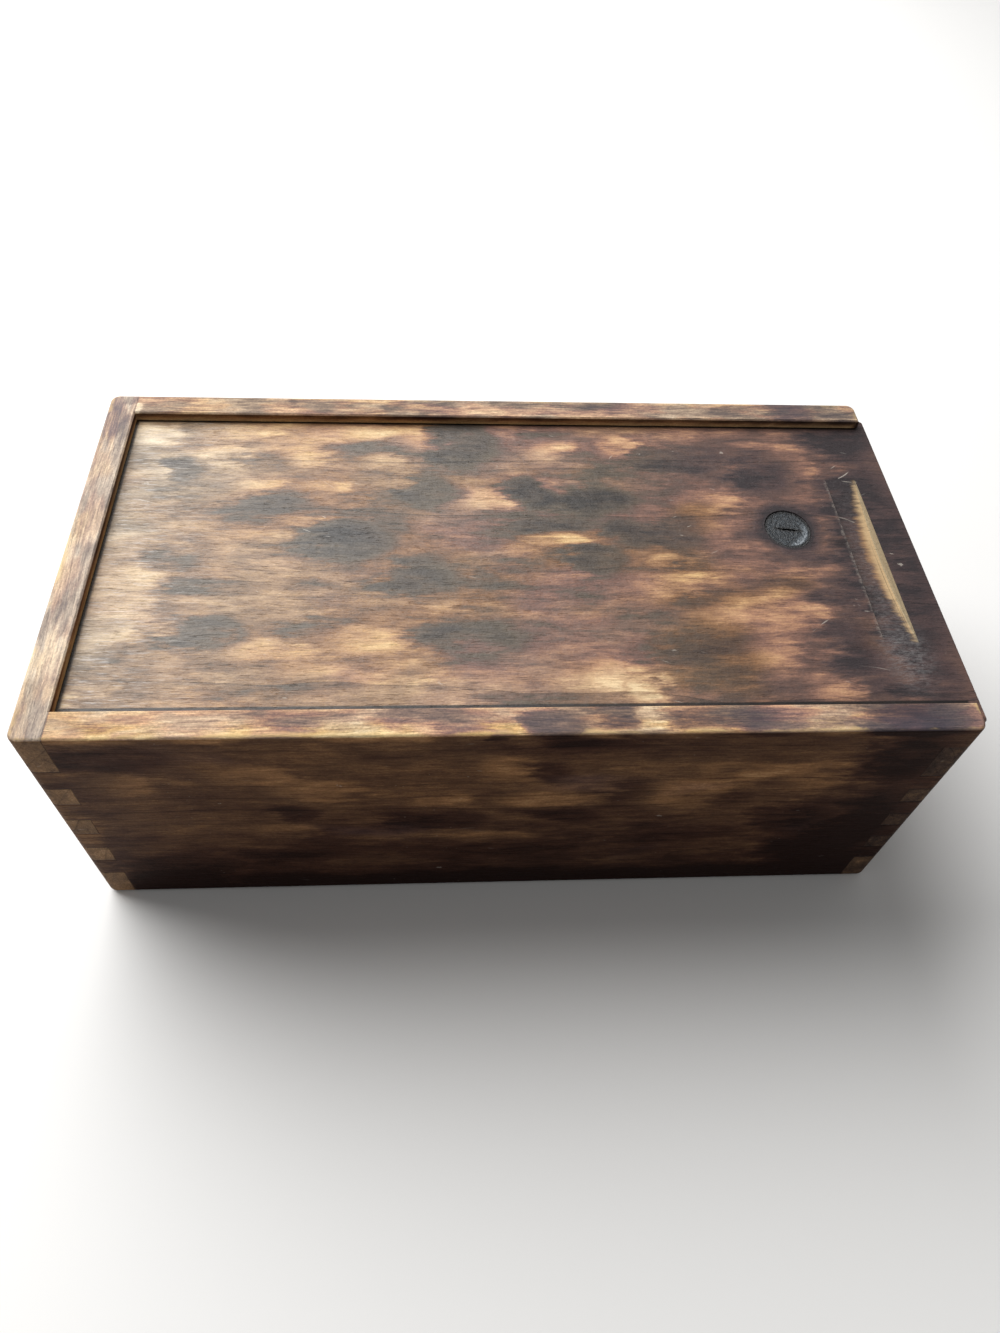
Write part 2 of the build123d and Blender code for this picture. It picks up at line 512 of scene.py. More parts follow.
frontBoard = {
    "name": "scorchedFrontBoard",
    "along": "X",
    "pith": (0, -38, 15),
    "ringWidth": 2.6,
    "scorch": 0.66,
    "rimScorch": 0.38,
    "patchy": 0.65,
    "rub": 0.75,
    "fingersPaler": (0.10, 0.10),         # at the foot and at the top
    "smoke": 0.05,
    "rimSmoke": 0.22,
    "yellowed": 1.0,
    "sheen": 0.10,
    # along the rim: x, mm in from the outer face, reach along and across, strength
    "rim": [
        (-97, 4, 15, 12, -0.18), (-74, 3, 14, 6, -0.22), (-53, 5, 8, 5, 0.06), (-40, 1.5, 8, 4, -0.22),
        (-35, 4, 4, 9, -0.14), (-27, 1, 9, 3, -0.20), (-16, 3, 6, 5, 0.06), (-5, 0, 3, 1.5, 0.30),
        (-4, 4, 6, 5, -0.10), (8, 3, 9, 5, 0.22), (24, 6, 7, 5, 0.26), (20, 0.5, 9, 2, -0.14),
        (31, 5, 3.5, 6, -0.28), (48, 4, 14, 7, 0.24), (60, 3, 9, 6, 0.16), (45, 0.5, 16, 1.6, -0.12),
        (76, 4, 8, 9, -0.12), (96, 3, 15, 12, 0.50),
    ],
    # on the outer face: x, z, reach in x and z, strength
    "face": [
        (-94, 76, 15, 7, 0.30), (9, 66, 6, 6, 0.25), (17, 80, 12, 3, 0.30), (96, 72, 12, 15, 0.30),
        (98, 38, 11, 18, 0.30), (75, 41, 12, 9, 0.30), (85, 17, 15, 12, 0.30), (-55, 47, 6, 5, 0.30),
        (-27, 43, 8, 5, 0.30), (-15, 41, 9, 6, 0.25), (15, 44, 11, 4, 0.30), (46, 34, 18, 6, 0.25),
        (31, 57, 8, 6, 0.25), (-91, 17, 15, 9, 0.25), (-97, 8, 15, 6, 0.25), (-62, 23, 18, 5, 0.20),
        (-47, 59, 14, 6, -0.35), (-18, 53, 9, 4, -0.35), (9, 52, 15, 5, -0.35), (46, 55, 15, 9, -0.35),
        (57, 67, 14, 6, -0.30), (79, 64, 12, 8, -0.35), (-64, 67, 12, 6, -0.30), (-59, 38, 11, 6, -0.30),
        (-26, 34, 18, 3, -0.25), (-6, 32, 15, 3, -0.25), (-96, 63, 9, 8, -0.20), (-3, 69, 8, 5, -0.30),
        (60, 23, 18, 6, -0.15), (-30, 17, 18, 4, -0.15), (0, 2, 160, 10, 0.32), (0, 0, 200, 44, 0.24),
        # (-113, 24, 7, 34, -0.28) is painted light: it pales the rounded corner by the closed end, where the
        # light falls
        (98, 40, 24, 44, 0.22), (-113, 24, 7, 34, -0.28), (-8, 60, 70, 14, -0.05), (104, 8, 13, 11, 0.22),
        (22, 77, 36, 6, 0.10), (-104, 60, 9, 16, 0.10), (0, 6, 90, 8, 0.10), (98, 74, 16, 9, 0.10),
    ],
}

backBoard = {
    "name": "scorchedBackBoard",
    "along": "X",
    "pith": (0, 30, -25),
    "ringWidth": 2.2,
    "scorch": 0.64,
    "rimScorch": 0.32,
    "patchy": 0.9,
    "rub": 0.35,
    "fingersPaler": (0.16, 0.16),
    "smoke": 0.35,
    "rimSmoke": 0.50,
    "yellowed": 0.35,
    "sheen": 0.10,
    "rim": [
        (-107, 6, 2.5, 3, -0.40), (-98, 4, 7, 9, 0.05), (-83, 4, 9, 9, -0.06), (-67, 4, 5, 9, -0.06),
        (-59, 4, 4, 6, 0.08), (-48, 4, 6, 6, 0.04), (-39, 4, 6, 9, -0.03), (-31, 4, 4, 9, 0.12),
        (-18, 4, 7, 9, 0.16), (-7, 4, 8, 9, -0.12), (5, 4, 7, 5, 0.03), (19, 4, 8, 5, 0.05),
        (34, 1, 7, 5, 0.26), (46, 4, 6, 6, 0.06), (58, 4, 9, 9, -0.06), (71, 4, 5, 3, 0.16),
        (79, 4, 6, 9, 0.14), (91, 4, 8, 9, 0.44), (106, 4, 9, 9, 0.22),
    ],
    "face": [
        (-80, 60, 16, 9, -0.35), (-40, 30, 14, 8, -0.30), (-52, 66, 10, 8, 0.30), (0, 58, 15, 8, -0.30),
        (30, 30, 18, 7, -0.30), (62, 62, 14, 9, -0.35), (90, 35, 12, 9, -0.25), (-10, 20, 14, 9, 0.30),
        (-90, 25, 12, 10, 0.30), (45, 50, 9, 7, 0.30), (85, 70, 12, 6, 0.30), (0, 2, 90, 7, 0.25),
    ],
}

closedEnd = {
    "name": "scorchedClosedEnd",
    "along": "Y",
    "pith": (0, -20, -30),
    "ringWidth": 2.4,
    "scorch": 0.62,
    "rimScorch": 0.23,
    "patchy": 0.6,
    "rub": 0.60,
    "fingersPaler": (0.28, 0.16),
    "smoke": 0.25,
    "rimSmoke": 0.80,
    "yellowed": 0.35,
    "sheen": 0.20,
    # along the rim: y, mm in from the outer face, reach along and across, strength
    "rim": [
        (-53, 4, 9, 12, 0.02), (-38, 3, 7, 9, -0.20), (-23, 4, 5, 3, 0.06), (-4, 1, 6, 3, -0.20),
        (10, 4, 12, 9, 0.02), (32, 5, 10, 4, -0.02), (50, 4, 10, 12, 0.24), (55, 7, 3, 3, -0.30),
    ],
    # on the outer face: y, z, reach in y and z, strength
    "face": [
        (-30, 62, 12, 7, 0.35), (10, 66, 12, 8, -0.25), (36, 40, 10, 9, 0.35), (-8, 40, 12, 7, -0.25),
        (-40, 30, 9, 8, -0.20), (8, 18, 14, 7, 0.35), (44, 66, 8, 7, 0.25), (38, 14, 10, 6, -0.15),
    ],
}

openEnd = {
    "name": "scorchedOpenEnd",
    "along": "Y",
    "pith": (0, 25, -35),
    "ringWidth": 2.3,
    "scorch": 0.72,
    "rimScorch": 0.60,
    "patchy": 1.0,
    "rub": 0.5,
    "fingersPaler": (0.02, 0.08),
    "smoke": 0.35,
    "rimSmoke": 0.50,
    "yellowed": 0.35,
    "sheen": 0.10,
    "rim": [],
    "face": [
        (-34, 58, 12, 8, -0.30), (4, 62, 12, 7, 0.20), (30, 44, 13, 8, -0.30), (-12, 32, 13, 7, -0.25),
        (-42, 22, 9, 7, 0.20), (14, 14, 14, 6, 0.20), (46, 20, 9, 8, -0.20),
    ],
}


def boardSpots(board, side):
    # side is the way the board's outer face looks, along Y for a side board and along X for an end board
    rimSpots, faceSpots = [], []
    for along, across, reach, spread, strength in board["rim"]:
        depth = boardFinish["rimSpotDepth"]
        if board["along"] == "X":
            centre = (along, side.y * (boxHigh.y - across), boxHigh.z)
            rimSpots.append((centre, (reach, spread, depth), strength))
        else:
            centre = (boxLow.x + across, along, boxHigh.z)
            rimSpots.append((centre, (spread, reach, depth), strength))
    for along, height, reach, rise, strength in board["face"]:
        strength *= boardFinish["paleSpots"] if strength < 0 else boardFinish["darkSpots"]
        depth = boardFinish["faceSpotDepth"]
        if board["along"] == "X":
            faceSpots.append(((along, side.y * boxHigh.y, height), (reach, depth, rise), strength))
        else:
            middle = (boxLow.x + boxHigh.x) / 2
            face = middle + side.x * (boxHigh.x - middle)
            faceSpots.append(((face, along, height), (depth, reach, rise), strength))
    return rimSpots, faceSpots


boardFinish = {
    "ringShade": 0.26, "fleckShade": 0.22, "glintShade": 0.22, "fibreShade": 1.0, "fibreScorch": 0.35,
    "nicks": 0.22, "scratches": 0.15,
    "rough": 0.48, "roughSpread": 0.25,
    "clouds": 0.16, "streaks": 0.32, "licks": 0.26,
    "paleSpots": 0.50, "darkSpots": 0.65,
    "rimSpotDepth": 3, "faceSpotDepth": 9,
    "ringScorch": 0.08, "seamScorch": 0.24,
    "bareness": 0.68,                     # how much of the scorching is missing inside the box
    "fingerTones": 0.20,                  # how far the finger ends differ from each other
    "fingerTurn": (46, 58),               # heights between which the foot's tone turns into the top's
    "fingerSmoke": 0.35,
    "specular": 0.06,
    "arrisPaler": 0.20,                   # along both edges of the rims
    "rubColour": "#dfc088",
    "sheenColour": "#b8b2c2",             # the sky's reflection that dulls the rims
    "rimFibres": 1.5, "rimStreaks": 0.5,
}


def finishBoard(node, board, side):
    material, tree, surface, place = startMaterial(board["name"])
    turn = radians(-90) if board["along"] == "Y" else 0
    grainPlace = rotated(tree, place, turn)
    grain = effect(tree, "woodGrain", Vector=grainPlace, Pith=board["pith"], RingWidth=board["ringWidth"])
    drift = effect(tree, "torchDrift", Vector=grainPlace)
    widePlace = rotated(tree, drift["Vector"], -turn)
    tightPlace = rotated(tree, drift["Tight"], -turn)
    at = split(tree, place)
    shell = effect(tree, "edgeDistance", Vector=place, Low=boxLow, High=boxHigh)
    near = split(tree, shell["Near"])
    fromEnd, fromSide = (near["X"], near["Y"]) if board["along"] == "X" else (near["Y"], near["X"])

    # Scorching: an even level, the torch's drift, and its spots
    scorch = addDrift(tree, board["scorch"], drift, boardFinish, board["patchy"])
    rimSpots, faceSpots = boardSpots(board, side)
    scorch = addSpots(tree, scorch, widePlace, faceSpots)
    scorch = addSpots(tree, scorch, tightPlace, rimSpots)
    scorch = weigh(tree, grain["Rings"], boardFinish["ringScorch"], scorch)

    # The rim has its own level, streaks along the fibres, and paler edges
    rim = fade(tree, at["Z"], boxHigh.z - 0.7, boxHigh.z - 0.15)
    scorch = weigh(tree, rim, board["rimScorch"] - board["scorch"], scorch)
    if board["along"] == "X":
        inward = maths(tree, "SUBTRACT", maths(tree, "ABSOLUTE", at["Y"]), innerBack)
    else:
        inward = maths(tree, "SUBTRACT", innerLeft, at["X"])
    outward = maths(tree, "SUBTRACT", endThickness, inward)
    frayed = noise(tree, grainPlace, (0.16, 1.2, 1.2), detail=3)["Fac"]
    rimStreaks = maths(tree, "ADD", centred(tree, frayed), times(tree, drift["Licks"], 0.25))
    scorch = weigh(tree, times(tree, rim, rimStreaks), boardFinish["rimStreaks"], scorch)
    arris = maths(tree, "SUBTRACT", maths(tree, "MINIMUM", inward, outward), times(tree, frayed, 2.6))
    breaks = noise(tree, place, (0.055, 0.055, 0.055))["Fac"]
    arris = times(tree, fade(tree, arris, 0.5, -0.9), fade(tree, breaks, 0.40, 0.58))
    scorch = weigh(tree, times(tree, arris, rim), -boardFinish["arrisPaler"], scorch)

    # Finger ends: each its own tone
    endGrain = maths(tree, "SUBTRACT", fromEnd, maths(tree, "MINIMUM", fromSide, near["Z"]))
    endGrain = times(tree, fade(tree, endGrain, 0.15, -0.15), fade(tree, fromEnd, 1.0, 0.7))
    leftHalf = maths(tree, "LESS_THAN", at["X"], 0.0)
    tall = (boxHigh.z - 2 * joint["endFinger"]) / joint["bands"]
    short = (openEndTop - 2 * joint["endFinger"]) / joint["bands"]
    step = weigh(tree, leftHalf, tall - short, short)
    fingers = effect(tree, "fingerLines", Height=at["Z"], Step=step)
    cornerSeed = weigh(tree, leftHalf, 17.0, maths(tree, "SIGN", at["Y"]))
    tone = chanceOf(tree, maths(tree, "ADD", fingers["Band"], cornerSeed))
    atFoot, atTop = board["fingersPaler"]
    paler = fade(tree, at["Z"], *boardFinish["fingerTurn"], -atFoot, -atTop)
    tone = weigh(tree, tone, boardFinish["fingerTones"], paler)
    scorch = weigh(tree, endGrain, tone, scorch)

    # Dark glue lines between the fingers and round their ends
    fromLeft = apart(tree, at["X"], innerLeft)
    fromRight = apart(tree, at["X"], innerRight)
    fromInner = apart(tree, maths(tree, "ABSOLUTE", at["Y"]), innerBack)
    nearEnd = maths(tree, "LESS_THAN", near["X"], endThickness + 0.1)
    nearSide = maths(tree, "LESS_THAN", near["Y"], sideThickness + 0.1)
    upright = maths(tree, "MINIMUM", maths(tree, "MINIMUM", fromLeft, fromRight), fromInner)
    upright = times(tree, fade(tree, upright, 0.30, 0.05), endGrain)
    lines = maths(tree, "MAXIMUM", fingers["Line"], upright)
    seam = times(tree, lines, times(tree, nearEnd, nearSide))
    rimSeam = times(tree, fade(tree, fromLeft, 0.35, 0.06), times(tree, rim, nearSide))
    seam = maths(tree, "MAXIMUM", seam, rimSeam)

    # Inside the box the wood is bare
    inside = fade(tree, shell["Face"], 0.5, 2.4)
    bare = times(tree, inside, fade(tree, at["Z"], boxHigh.z - 1.1, boxHigh.z - 3.1, 0.75, 1.0))
    scorch = times(tree, scorch, weigh(tree, bare, -boardFinish["bareness"], 1.0))
    scorch = weigh(tree, seam, boardFinish["seamScorch"], scorch)

    # Smoke dulls the wood in patches, and along the rim in streaks
    tints = noise(tree, place, (0.02, 0.05, 0.05))
    smoke = fade(tree, tints["Fac"], 0.42, 0.62, 0.0, board["smoke"])
    least, most = max(board["rimSmoke"] - 0.3, 0.0), min(board["rimSmoke"] + 0.3, 1.0)
    rimSmoke = times(tree, rim, fade(tree, drift["Streaks"], -0.15, 0.15, least, most))
    fingerSmoke = times(tree, endGrain, boardFinish["fingerSmoke"])
    smoke = maths(tree, "MAXIMUM", smoke, maths(tree, "MAXIMUM", rimSmoke, fingerSmoke))

    # The rim is yellower towards its outer edge, where it is pale
    inner = maths(tree, "MAXIMUM", fade(tree, outward, 1.6, 5.4), fade(tree, scorch, 0.16, 0.42))
    inner = maths(tree, "MAXIMUM", inner, fade(tree, breaks, 0.56, 0.42))
    inner = weigh(tree, maths(tree, "SUBTRACT", inner, 1.0), board["yellowed"], 1.0)
    russet = maths(tree, "SUBTRACT", split(tree, tints["Color"])["Y"], 0.18)
    russet = weigh(tree, rim, weigh(tree, inner, 0.28, -0.02), russet)
    colour = woodColour(tree, place, scorch, smoke, grain, russet, boardFinish)
    threads = times(tree, rim, centred(tree, grain["Fibres"]))
    colour = vectors(tree, "MULTIPLY", colour, weigh(tree, threads, -boardFinish["rimFibres"], 1.0))
    # Painted reflection: the rim is mixed towards the sky's pale violet-grey, less so at its yellower outer
    # edge
    sheen = times(tree, rim, times(tree, inner, board["sheen"]))
    colour = mixColour(tree, sheen, colour, boardFinish["sheenColour"])

    # Outer edges are rubbed down to yellow wood, most of all round the rim
    worn = noise(tree, place, (0.09, 0.09, 0.3), detail=4, roughness=0.6)["Fac"]
    reach = weigh(tree, frayed, 1.1, fade(tree, worn, 0.40, 0.62, -1.1, 0.75))
    rubbed = fade(tree, maths(tree, "SUBTRACT", shell["Edge"], reach), 0.9, -0.8)
    upwards = fade(tree, at["Z"], boxHigh.z - 1.6, boxHigh.z - 0.5, 0.08, 0.80)
    onRim = fade(tree, at["Z"], boxHigh.z - 0.28, boxHigh.z - 0.06, 0.05, board["rub"])
    rubbed = times(tree, times(tree, rubbed, upwards), onRim)
    colour = mixColour(tree, rubbed, colour, boardFinish["rubColour"])
    tree.links.new(colour, surface["Base Color"])
    surface["Specular IOR Level"].default_value = boardFinish["specular"]
    woodSurface(tree, surface, place, grain, seam, boardFinish)
    dress(node, material)


finishBoard("front_board", frontBoard, Vector((0, -1, 0)))
finishBoard("back_board", backBoard, Vector((0, 1, 0)))
finishBoard("closed_end_board", closedEnd, Vector((-1, 0, 0)))
finishBoard("open_end_board", openEnd, Vector((1, 0, 0)))
print("boards finished")


# The sliding lid

lid = {
    "pith": (0, -70, 10),
    "ringWidth": 2.9,
    "scorch": 0.50,
    # x, y, reach along and across, strength: darker spots first, then the lighter wood between them
    "spots": [
        (-91, 32, 7, 6, 0.45), (-11, 44, 13, 11, 0.50), (-44, 42, 11, 4, 0.30), (-69, 35, 11, 5, 0.24),
        (-22, 24, 9, 8, 0.45), (6, 23, 8, 7, 0.66), (25, 20, 16, 5, 0.40), (-65, 17, 14, 3, 0.25),
        (-43, 3, 13, 8, 0.40), (-88, -2, 9, 9, 0.32), (25, -3, 8, 8, 0.35), (34, 7, 8, 6, 0.35),
        (16, 12, 14, 5, 0.32), (49, 8, 8, 7, 0.30), (-23, -11, 11, 9, 0.40), (-77, -13, 14, 4, 0.30),
        (-77, -29, 11, 7, 0.50), (-46, -28, 11, 6, 0.20), (-11, -31, 18, 7, 0.30), (47, -38, 15, 9, 0.10),
        (78, 31, 9, 10, 0.42), (105, 50, 15, 12, 0.50), (106, 0, 13, 50, 0.50), (55, 40, 17, 6, 0.18),
        (-98, -40, 12, 9, 0.25), (-64, -46, 17, 5, 0.16), (88, -24, 7, 18, 0.20), (-52, 12, 30, 16, 0.20),
        (24, 21, 16, 7, 0.30), (-20, 0, 40, 14, 0.08), (-98, -6, 12, 36, -0.12), (-81, 38, 8, 5, -0.30),
        (-78, 49, 12, 4, -0.36), (-57, 37, 8, 4, -0.32), (-68, 25, 9, 3, -0.34), (-52, 24, 7, 3, -0.30),
        (-35, 50, 14, 3, -0.34), (-35, 36, 6, 4, -0.24), (14, 40, 8, 5, -0.44), (35, 43, 6, 6, -0.46),
        (25, 34, 9, 3, -0.20), (-8, 20, 8, 7, -0.30), (18, 27, 9, 3, -0.32), (60, 20, 10, 6, -0.42),
        (-56, 11, 7, 2, -0.36), (-106, 6, 5, 3, -0.10), (-66, 5, 9, 3, -0.24), (-93, -9, 9, 4, -0.26),
        (-50, -7, 9, 4, 0.05), (12, 4, 8, 3, -0.50), (-4, -2, 12, 4, -0.22), (45, -3, 8, 3, -0.44),
        (71, -6, 11, 4, -0.34), (68, -22, 20, 9, -0.34), (43, -12, 12, 6, -0.40), (-24, -20, 9, 5, -0.06),
        (-99, -29, 8, 3, -0.22), (-38, -30, 14, 4, -0.40), (-60, -34, 15, 3.5, -0.30),
        (-44, -41, 12, 3, -0.14), (-28, -43, 12, 5, -0.30), (6, -43, 24, 6, -0.28), (21, -39, 8, 8, -0.08),
        (32, -46, 6, 5, -0.60), (67, -36, 8, 6, -0.30), (81, -48, 8, 3, -0.40), (81, 44, 12, 2, -0.42),
        (90, 33, 3, 9, -0.14), (-107, -48, 4, 3, -0.30), (-98, 34, 2, 6, -0.22), (-91, 39, 8, 2, -0.26),
        (52, 35, 14, 2, 0.40), (-32, 20, 8, 5, 0.14), (94, 10, 5, 30, 0.18), (89, -41, 9, 8, 0.36),
        (105, -46, 9, 9, 0.24), (-102, 49, 12, 7, -0.48), (50, 48, 40, 4, -0.10), (52, -4, 14, 12, -0.10),
        (-46, 48, 12, 4, -0.20), (-24, 46, 7, 6, -0.24), (-98, -22, 10, 12, -0.14), (-104, -44, 9, 9, -0.20),
        (25, -43, 9, 9, -0.38), (38, -48, 8, 4, -0.26), (-17, -46, 9, 6, -0.32), (60, 9, 13, 4, -0.26),
        (4, 49, 8, 3, -0.30), (-28, 40, 6, 4, 0.24), (-88, 23, 11, 4, 0.24), (-43, -22, 9, 4, 0.16),
    ],
    "knotHalo": 5.5,                      # how far the dark ring reaches round the knot
    "notchWall": lidHigh.x - 9.8,         # the notch's upright wall
    "notchWidth": 9.2,
    "notchMiddle": -1.3,
    "notchHalf": 31.5,                    # half its length
    "parting": 30.0, "partingReach": 40.0,    # how the grain parts round the knot
}


lidFinish = {
    "ringShade": 0.36, "fleckShade": 0.22, "glintShade": 0.22, "fibreShade": 1.0, "fibreScorch": 0.30,
    "nicks": 0.36, "scratches": 0.42,
    "rough": 0.36, "roughSpread": 0.25,
    "clouds": 0.12, "streaks": 0.40, "licks": 0.28,
    "paleSpots": 0.60, "darkSpots": 0.68, "spotDepth": 40,
    "leftPaler": 0.11, "rightDarker": 0.12,
    "ringScorch": 0.10, "haloScorch": 0.42, "holeShadowScorch": 0.5, "notchScorch": 0.10,
    "bareness": 0.70,                     # how much of the scorching is missing below and under the lips
    "dust": 0.42, "dustColour": "#9c9998",
    "gapShade": 0.92,                         # how dark the painted shade along the lips is
    "specular": 0.5,
    "freshColour": "#bea27b",
    "wornColour": "#a07c58",
    "wallColour": "#958b74", "wallShare": 0.75,
    "cutShade": 0.55,                     # of the cutter's lines across the notch
    "arrisColour": "#8c837b",
    # painted highlight: pale streaks along the fibres at the held end, where the light glints on them
    "paintedGlint": 0.42, "paintedGlintColour": "#d9d2cd",
    "ringShadow": 0.75,                   # mm of painted shadow round the knot's hole
}


def finishLid():
    material, tree, surface, place = startMaterial("scorchedLid")
    at = split(tree, place)
    knotMiddle = (knotLow + knotHigh) / 2
    knotReach = (knotHigh - knotLow) / 2

    # The grain parts round the knot
    fromKnot = vectors(tree, "SUBTRACT", place, tuple(knotMiddle))
    away = distance(tree, vectors(tree, "MULTIPLY", fromKnot, (0.55, 1, 0)))
    spread = maths(tree, "ADD", maths(tree, "POWER", away, 2.0), lid["partingReach"])
    bulge = maths(tree, "DIVIDE", lid["parting"], spread)
    inward = vectors(tree, "MULTIPLY", fromKnot, (0, -1, 0))
    squeeze = put(tree, "VectorMath", {0: inward, "Scale": bulge}, operation="SCALE").outputs[0]
    grainPlace = vectors(tree, "ADD", place, squeeze)
    grain = effect(tree, "woodGrain", Vector=grainPlace, Pith=lid["pith"], RingWidth=lid["ringWidth"])
    drift = effect(tree, "torchDrift", Vector=place)

    # Scorching: darker towards the free end, with the torch's drift and its spots
    palest = lid["scorch"] - lidFinish["leftPaler"]
    darkest = lid["scorch"] + lidFinish["rightDarker"]
    scorch = fade(tree, at["X"], lidLow.x, lidHigh.x, palest, darkest)
    scorch = addDrift(tree, scorch, drift, lidFinish)
    spots = []
    for x, y, along, across, strength in lid["spots"]:
        strength *= lidFinish["paleSpots"] if strength < 0 else lidFinish["darkSpots"]
        spots.append(((x, y, lidHigh.z), (along, across, lidFinish["spotDepth"]), strength))
    scorch = addSpots(tree, scorch, drift["Vector"], spots)
    scorch = weigh(tree, grain["Rings"], lidFinish["ringScorch"], scorch)

    # Charred ring round the knot, and painted shadow at the hole's edge
    oval = distance(tree, vectors(tree, "DIVIDE", fromKnot, (knotReach.x, knotReach.y, anyHeight)))
    halo = fade(tree, oval, 1.0 + lid["knotHalo"] / knotReach.y, 1.0)
    scorch = weigh(tree, halo, lidFinish["haloScorch"], scorch)
    shadow = lidFinish["ringShadow"] / knotReach.y
    holeShadow = fade(tree, oval, 1.0 + 1.6 * shadow, 1.0 + 0.5 * shadow)
    scorch = weigh(tree, holeShadow, lidFinish["holeShadowScorch"], scorch)

    # Under the lips, in the grooves and below, the wood is bare
    below = maths(tree, "SUBTRACT", lidHigh.z, at["Z"])
    covered = fade(tree, at["X"], boxHigh.x + 0.2, boxHigh.x - 0.7)
    fromMiddle = maths(tree, "ABSOLUTE", at["Y"])
    underLip = times(tree, fade(tree, fromMiddle, innerBack, innerBack + 1.5), covered)
    endFace = fade(tree, at["X"], lidHigh.x - 0.35, lidHigh.x - 0.15)
    bare = maths(tree, "MAXIMUM", underLip, fade(tree, below, 0.8, lidHigh.z - lidLow.z - 0.4))
    bare = times(tree, bare, maths(tree, "SUBTRACT", 1.0, endFace))
    scorch = times(tree, scorch, weigh(tree, bare, -lidFinish["bareness"], 1.0))

    # The notch is charred, but thumbs have worn its wall and a ragged strip of its floor bare
    toWall = maths(tree, "SUBTRACT", lid["notchWall"], at["X"])
    along = maths(tree, "DIVIDE", maths(tree, "SUBTRACT", at["Y"], lid["notchMiddle"]), lid["notchHalf"])
    toEnds = maths(tree, "ABSOLUTE", along)
    lens = maths(tree, "SUBTRACT", 1.0, maths(tree, "POWER", toEnds, 2.0))
    lens = times(tree, lens, weigh(tree, along, 0.25, 1.0))
    frayed = noise(tree, place, (0.16, 0.8, 0.3), detail=5, roughness=0.7)["Fac"]
    ragged = centred(tree, frayed)
    reach = weigh(tree, ragged, 6.0, times(tree, lens, 2.9))
    fresh = fade(tree, maths(tree, "SUBTRACT", toWall, reach), 1.7, -1.3)
    farSide = lid["notchWidth"] + 0.1
    inNotch = times(tree, fade(tree, below, 0.04, 0.16), maths(tree, "GREATER_THAN", toWall, -0.05))
    inNotch = times(tree, inNotch, fade(tree, toEnds, 1.0, 0.94))
    inNotch = times(tree, inNotch, fade(tree, toWall, farSide, lid["notchWidth"] - 0.1))
    fresh = times(tree, fresh, inNotch)
    scorch = weigh(tree, inNotch, lidFinish["notchScorch"], scorch)
    cuts = noise(tree, place, (2.6, 0.03, 0.6), detail=1)["Fac"]
    cuts = times(tree, fade(tree, cuts, 0.56, 0.66), fade(tree, along, 0.35, -0.2))

    # Worn arris along the notch's other side, and dust in its near end
    grit = noise(tree, place, (0.7, 1.6, 0.5), detail=4, roughness=0.75)["Fac"]
    arris = maths(tree, "ABSOLUTE", weigh(tree, ragged, 2.6, maths(tree, "SUBTRACT", toWall, farSide)))
    arris = times(tree, fade(tree, arris, 0.9, 0.1), fade(tree, toEnds, 1.0, 0.9))
    arris = times(tree, arris, fade(tree, grit, 0.42, 0.62, 0.05, 0.55))
    dustMiddle = (lid["notchWall"] - 4.5, lid["notchMiddle"] - lid["notchHalf"] - 3, lidHigh.z)
    fromDust = vectors(tree, "SUBTRACT", place, dustMiddle)
    dust = fade(tree, distance(tree, vectors(tree, "DIVIDE", fromDust, (8, 14, 40))), 1.2, 0.2)
    settled = times(tree, inNotch, fade(tree, along, 0.9, -0.4, 0.22, 0.55))
    dust = times(tree, maths(tree, "MAXIMUM", dust, settled), fade(tree, grit, 0.36, 0.74))

    # Colour: sooty where it is dark, dull at the held end, russet towards the free end
    tints = noise(tree, place, (0.025, 0.05, 0.05))
    sooty = fade(tree, scorch, 0.54, 0.74, 0.0, 0.85)
    smoke = maths(tree, "ADD", sooty, fade(tree, tints["Fac"], 0.44, 0.62, 0.0, 0.35), clamp=True)
    smoke = times(tree, smoke, fade(tree, at["X"], lidHigh.x - 95, lidHigh.x - 45, 1.0, 0.15))
    smoke = maths(tree, "ADD", smoke, fade(tree, at["X"], -55, lidLow.x + 8, 0.0, 0.55), clamp=True)
    russet = split(tree, tints["Color"])["Y"]
    russet = maths(tree, "ADD", russet, fade(tree, at["X"], -70, 0, -0.16, 0.08))
    russet = maths(tree, "ADD", russet, fade(tree, at["X"], 40, 90, 0.0, 0.20))
    colour = woodColour(tree, place, scorch, smoke, grain, russet, lidFinish)
    colour = mixColour(tree, times(tree, dust, lidFinish["dust"]), colour, lidFinish["dustColour"])
    # Painted highlight: pale streaks along the fibres towards the held end, where the light glints on them
    hair = noise(tree, place, (0.22, 2.4, 2.4), detail=3, roughness=0.7)["Fac"]
    paintedGlint = fade(tree, at["X"], -62, lidLow.x + 6, 0.0, lidFinish["paintedGlint"])
    paintedGlint = times(tree, fade(tree, hair, 0.50, 0.70), paintedGlint)
    colour = mixColour(tree, paintedGlint, colour, lidFinish["paintedGlintColour"])
    colour = mixColour(tree, arris, colour, lidFinish["arrisColour"])

    # Bare wood in the notch: fresh by its wall, browner away from it, and darker in the cutter's lines
    freshShade = weigh(tree, cuts, -lidFinish["cutShade"], weigh(tree, frayed, 0.5, 0.72))
    browner = fade(tree, toWall, 0.8, 3.6)
    freshColour = mixColour(tree, browner, lidFinish["freshColour"], lidFinish["wornColour"])
    freshColour = vectors(tree, "MULTIPLY", freshColour, freshShade)
    wall = times(tree, fade(tree, toWall, 0.5, 0.1), lidFinish["wallShare"])
    freshColour = mixColour(tree, wall, freshColour, lidFinish["wallColour"])
    colour = mixColour(tree, fresh, colour, freshColour)
